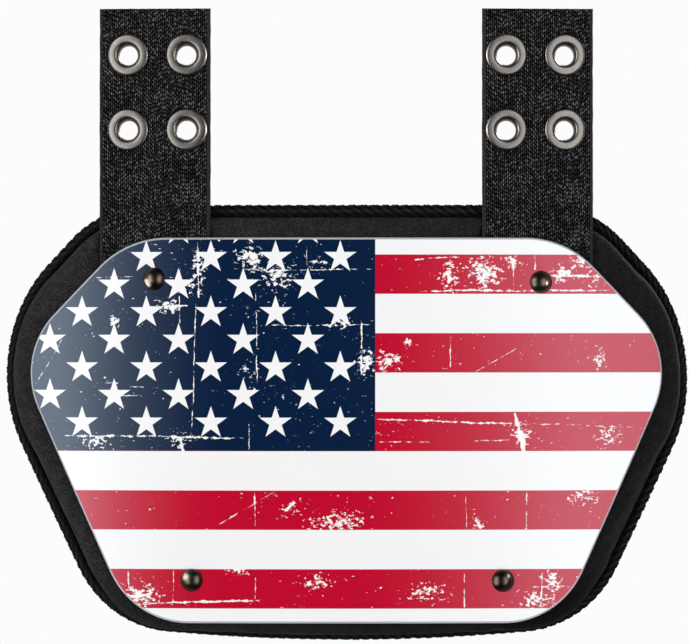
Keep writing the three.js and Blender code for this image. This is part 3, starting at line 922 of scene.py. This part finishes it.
def makeStrap(side, way, material):
    bm = bmesh.new()
    bmesh.ops.create_grid(bm, x_segments=strap["columns"], y_segments=strap["rows"], size=0.5,
                          matrix=Matrix.Rotation(math.radians(90), 4, "X"))
    middle = (strap["top"] + strap["bottom"]) / 2
    bmesh.ops.scale(bm, verts=bm.verts, vec=(strap["width"], 1, strap["top"] - strap["bottom"]))
    bmesh.ops.translate(bm, verts=bm.verts, vec=(0, strap["front"], middle))
    thick = bmesh.ops.extrude_face_region(bm, geom=bm.faces)
    moved = [part for part in thick["geom"] if isinstance(part, bmesh.types.BMVert)]
    bmesh.ops.translate(bm, verts=moved, vec=(0, strap["thickness"], 0))
    bmesh.ops.recalc_face_normals(bm, faces=bm.faces)
    half = strap["width"] / 2
    edges = [e for e in bm.edges if all(abs(abs(v.co.x) - half) < 0.01 * mm for v in e.verts)]
    long = [e for e in edges if abs(e.verts[0].co.z - e.verts[1].co.z) > 0.1 * mm]
    bmesh.ops.bevel(bm, geom=long, offset=strap["edgeRound"], offset_type="OFFSET", segments=3,
                    affect="EDGES", profile=0.5, material=-1)
    cloth = bm.loops.layers.uv.new("cloth")
    for face in bm.faces:
        for loop in face.loops:
            loop[cloth].uv = (loop.vert.co.x / mm, loop.vert.co.z / mm)
    # the webbing isn't quite flat where it hangs free, and its edges and cut end wander a little
    for vert in bm.verts:
        x, y, z = vert.co
        wave = noise.noise(Vector((x * 24 + way * 9, 0, z * 20)))
        vert.co.y += wave * strap["wave"] * smoothStep(z, *strap["freeFrom"])
        edge = smoothStep(abs(x), half - 3 * mm, half)
        vert.co.x += noise.noise(Vector((way * 5, 2, z * 160))) * strap["fray"] * edge
        cut = smoothStep(z, strap["top"] - 1.5 * mm, strap["top"])
        vert.co.z += (noise.noise(Vector((x * 500, way, y * 600))) - 1) * strap["fray"] * cut
    bmesh.ops.translate(bm, verts=bm.verts, vec=(way * strap["centre"], 0, 0))
    mesh = bpy.data.meshes.new("strapFlat")
    bm.to_mesh(mesh)
    bm.free()
    blank = bpy.data.objects.new("strapFlat", mesh)
    scene.collection.objects.link(blank)
    cutterMesh = bmesh.new()
    for x, z, row, column in grommetPlaces(way):
        turn = Matrix.Translation((x, strap["front"], z)) @ Matrix.Rotation(math.radians(90), 4, "X")
        bmesh.ops.create_cone(cutterMesh, cap_ends=True, segments=40, radius1=strap["holeRadius"],
                              radius2=strap["holeRadius"], depth=12 * mm, matrix=turn)
    data = bpy.data.meshes.new("strapPunch")
    cutterMesh.to_mesh(data)
    cutterMesh.free()
    punch = bpy.data.objects.new("strapPunch", data)
    scene.collection.objects.link(punch)
    cut = blank.modifiers.new("punch", "BOOLEAN")
    cut.operation, cut.solver, cut.object = "DIFFERENCE", "EXACT", punch
    bm = bmesh.new()
    bm.from_mesh(blank.evaluated_get(bpy.context.evaluated_depsgraph_get()).to_mesh())
    bpy.data.objects.remove(blank)
    bpy.data.objects.remove(punch)
    bendAll(bm)
    piece = finishPiece(bm, f"webbing_{side}", material, sharp=45)
    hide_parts(f"strap_{side}")


webbing = makeWebbing()
for side, way in (("left", -1), ("right", 1)):
    makeStrap(side, way, webbing)

# Grommets

grommet = {
    # radius, height out of the plate's front face and rounding, from the washer's bore to its back
    "profile": [(4.4, -6.6, 0), (4.2, -4.4, 0.8), (4.6, -2.9, 0.9), (5.6, -1.7, 0.6), (7.2, -1.6, 1.0),
                (8.95, -1.85, 0.5), (9.45, -2.75, 0.3), (9.1, -3.25, 0.1), (5.1, -3.3, 0), (5.1, -5.55, 0),
                (8.0, -5.55, 0.1), (8.7, -5.8, 0.2), (8.7, -6.5, 0.2), (7.9, -6.85, 0.2), (5.4, -6.9, 0.3),
                (4.4, -6.6, 0)],
    "steps": 56,
    "bore": (4.5, 5.5),  # the painted shade in the barrel fades out between these radii
    "lean": 0.14, "leanFrom": 1.6,  # it is set askew by this much for each millimetre below this depth
}
nickel = makeNickel()
for side, way in (("left", -1), ("right", 1)):
    for x, z, row, column in grommetPlaces(way):
        bm = turned(grommet["profile"], grommet["steps"])
        # painted shade: marks the barrel round the hole, which the finish paints dark
        bore = bm.verts.layers.float.new("bore")
        for vert in bm.verts:
            vert[bore] = 1 - smoothStep(math.hypot(vert.co.x, vert.co.z) / mm, *grommet["bore"])
            lean = (vert.co.y - grommet["leanFrom"] * mm) * grommet["lean"]
            vert.co.z -= lean
            vert.co.x += lean * way
        bmesh.ops.transform(bm, matrix=seatMatrix(x, z), verts=bm.verts)
        level = "upper" if row > 0 else "lower"
        place = "outer" if column * way > 0 else "inner"
        piece = finishPiece(bm, f"nickel_{side}_{level}_{place}", nickel, sharp=50)
        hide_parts(f"grommet_{side}_{level}_{place}")

# Rivets

rivet = {
    "head": 5.0, "height": 3.1, "lip": 0.35, "steps": 48,  # head and shank are radii, in mm
    "capFront": -15.0, "capHeight": 1.2, "shank": 1.9,
    "offCentre": [(0.5, 0.85), (0.6, -0.6), (0.5, 0.2), (0.4, -0.1)],  # each was punched by hand
}


def rivetProfile():
    rise = rivet["height"] - rivet["lip"]
    radius = (rise ** 2 + rivet["head"] ** 2) / (2 * rise)
    reach = math.asin(rivet["head"] / radius)
    points = []
    for i in range(15):
        angle = reach * i / 14
        points.append((radius * math.sin(angle), rivet["height"] - radius * (1 - math.cos(angle)), 0))
    head, shank, cap = rivet["head"], rivet["shank"], rivet["capFront"]
    low = cap - rivet["capHeight"]
    return points + [(head + 0.03, 0.12, 0.08), (head - 0.15, 0.02, 0), (shank, 0.02, 0), (shank, cap, 0),
                     (head, cap, 0.15), (head - 0.1, cap - 0.4, 0.3), (head - 1.3, low, 0.5),
                     (2.4, low, 0.35), (1.7, low + 0.7, 0.3), (0, low + 0.7, 0)]


gunmetal = makeGunmetal()
rivetNames = ("upper_left", "upper_right", "lower_left", "lower_right")
for name, (x, z), (across, up) in zip(rivetNames, pad["rivets"], rivet["offCentre"]):
    bm = turned(rivetProfile(), rivet["steps"])
    bmesh.ops.transform(bm, matrix=seatMatrix(x + across * mm, z + up * mm), verts=bm.verts)
    piece = finishPiece(bm, f"domed_{name}", gunmetal, sharp=50)
    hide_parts(f"rivet_{name}")

# Studio

studio = {
    "distance": 6.0, "sensor": 36, "frameWidth": 306.87 * mm, "aimX": -0.8 * mm, "aimZ": -101.95 * mm,
    "floor": -0.33, "floorReach": 3.0, "paper": (0.93, 0.93, 0.93),
    "backdrop": 0.974, "room": 0.04, "behind": 0.95,  # levels of light as seen, at the sides and behind
    # softboxes round the camera: where each starts (degrees from the camera, rightwards), the way it goes,
    # how far it takes to reach its full level, where it ends, and that level
    "boxes": [
        {"start": -19.5, "way": -1, "ramp": 20.5, "end": 48, "level": 4.6},
        {"start": 2, "way": 1, "ramp": 30, "end": 50, "level": 3.25},
    ],
    "boxHeight": 28,  # degrees above and below the level of the camera
    # each lamp's place from the middle of the view, in metres, whether it shows in soft light or in gleams,
    # and the only pieces that it shines on, where it doesn't shine on all
    "lamps": {
        "topLight": {"place": (0, -1.1, 1.7), "width": 1.6, "height": 1.6, "power": 18.5,
                     "seenBy": ("diffuse",)},
        "backLight": {"place": (1.1, 1.5, 0.9), "width": 0.9, "height": 0.9, "power": 45,
                      "seenBy": ("diffuse", "glossy")},
        "fabricStrip": {"place": (-2.17, -0.38, 0), "width": 0.8, "height": 1.0, "power": 82,
                        "seenBy": ("glossy",), "onto": ("knit", "ribbed")},
        "leftStrip": {"place": (-2.17, -0.38, 0), "width": 0.8, "height": 1.0, "power": 75,
                      "seenBy": ("glossy",), "onto": ("nickel_right",)},
        "rightStrip": {"place": (2.17, -0.38, 0), "width": 0.8, "height": 1.0, "power": 75,
                       "seenBy": ("glossy",), "onto": ("nickel_left",)},
        "upperLeftGleam": {"place": (-1.98, -0.1, -0.97), "width": 1.8, "height": 1.8, "power": 150,
                           "seenBy": ("glossy",), "onto": ("domed_upper_left",)},
        "upperRightGleam": {"place": (2.05, -0.72, -0.36), "width": 0.5, "height": 0.8, "power": 60,
                            "seenBy": ("glossy",), "onto": ("domed_upper_right",)},
        "lowerLeftGleam": {"place": (-1.96, -0.69, 0.71), "width": 1.6, "height": 1.6, "power": 105,
                           "seenBy": ("glossy",), "onto": ("domed_lower_left",)},
        "lowerRightGleam": {"place": (1.83, -0.51, 1.1), "width": 0.5, "height": 0.5, "power": 25,
                            "seenBy": ("glossy",), "onto": ("domed_lower_right",)},
    },
}

aim = Vector((studio["aimX"], 0, studio["aimZ"]))
cameraData = bpy.data.cameras.new("camera")
cameraData.lens = studio["sensor"] * studio["distance"] / studio["frameWidth"]
cameraData.sensor_width = studio["sensor"]
cameraData.clip_end = 60
camera = bpy.data.objects.new("camera", cameraData)
camera.location = aim + Vector((0, -studio["distance"], 0))
camera.rotation_euler = (math.radians(90), 0, 0)
scene.collection.objects.link(camera)
scene.camera = camera


def makeLamp(name, place, width, height, power, seenBy, onto=()):
    light = bpy.data.lights.new(name, "AREA")
    light.shape = "RECTANGLE"
    light.size, light.size_y, light.energy = width, height, power
    lamp = bpy.data.objects.new(name, light)
    lamp.location = aim + Vector(place)
    lamp.rotation_euler = Vector(place).to_track_quat("Z", "Y").to_euler()
    lamp.visible_camera = False
    lamp.visible_glossy = "glossy" in seenBy
    lamp.visible_diffuse = "diffuse" in seenBy
    if onto:  # it shines on these pieces alone
        lit = bpy.data.collections.new(name)
        for piece in scene.objects:
            if piece.name.startswith(onto):
                lit.objects.link(piece)
        lamp.light_linking.receiver_collection = lit
    scene.collection.objects.link(lamp)


for name, lamp in studio["lamps"].items():
    makeLamp(name, **lamp)

floorMesh = bmesh.new()
bmesh.ops.create_grid(floorMesh, x_segments=1, y_segments=1, size=studio["floorReach"],
                      matrix=Matrix.Translation((0, 0, studio["floor"])))
floorData = bpy.data.meshes.new("floor")
floorMesh.to_mesh(floorData)
floorMesh.free()
floor = bpy.data.objects.new("floor", floorData)
paper = Finish("floorPaper", 0.9)
paper.set("Base Color", (*studio["paper"], 1))
floorData.materials.append(paper.material)
scene.collection.objects.link(floor)
floor.visible_glossy = False


def lightRoom():
    world = bpy.data.worlds.new("studio")
    scene.world = world
    world.use_nodes = True
    room = Graph(world.node_tree)
    x, y, z = room.axes(room.node("TexCoord", output="Generated"), 1)
    azimuth = x.math("ARCTAN2", y * -1) * (180 / math.pi)
    height = (z.math("ARCSINE") * (180 / math.pi)).math("ABSOLUTE")
    level = azimuth.math("ABSOLUTE").rising(88, 112) * studio["behind"] + studio["room"]
    for box in studio["boxes"]:
        into = (azimuth - box["start"]) * box["way"]
        ramp = (into / box["ramp"]).clamped() ** 2
        inside = (1 - into.rising(box["end"] - 8, box["end"] + 4)) * \
            (1 - height.rising(studio["boxHeight"] - 8, studio["boxHeight"] + 8))
        level = level + ramp * inside * box["level"]
    around = room.node("Background", {}, {0: (1, 1, 1, 1), 1: level})
    seen = room.node("Background", {}, {0: (1, 1, 1, 1), 1: studio["backdrop"]})
    mixed = room.node("MixShader", {}, {0: room.node("LightPath"), 1: around, 2: seen})
    output = room.tree.nodes.new("ShaderNodeOutputWorld")
    room.tree.links.new(mixed.socket, output.inputs[0])


lightRoom()
scene.view_settings.view_transform = "Standard"
print("studio set")
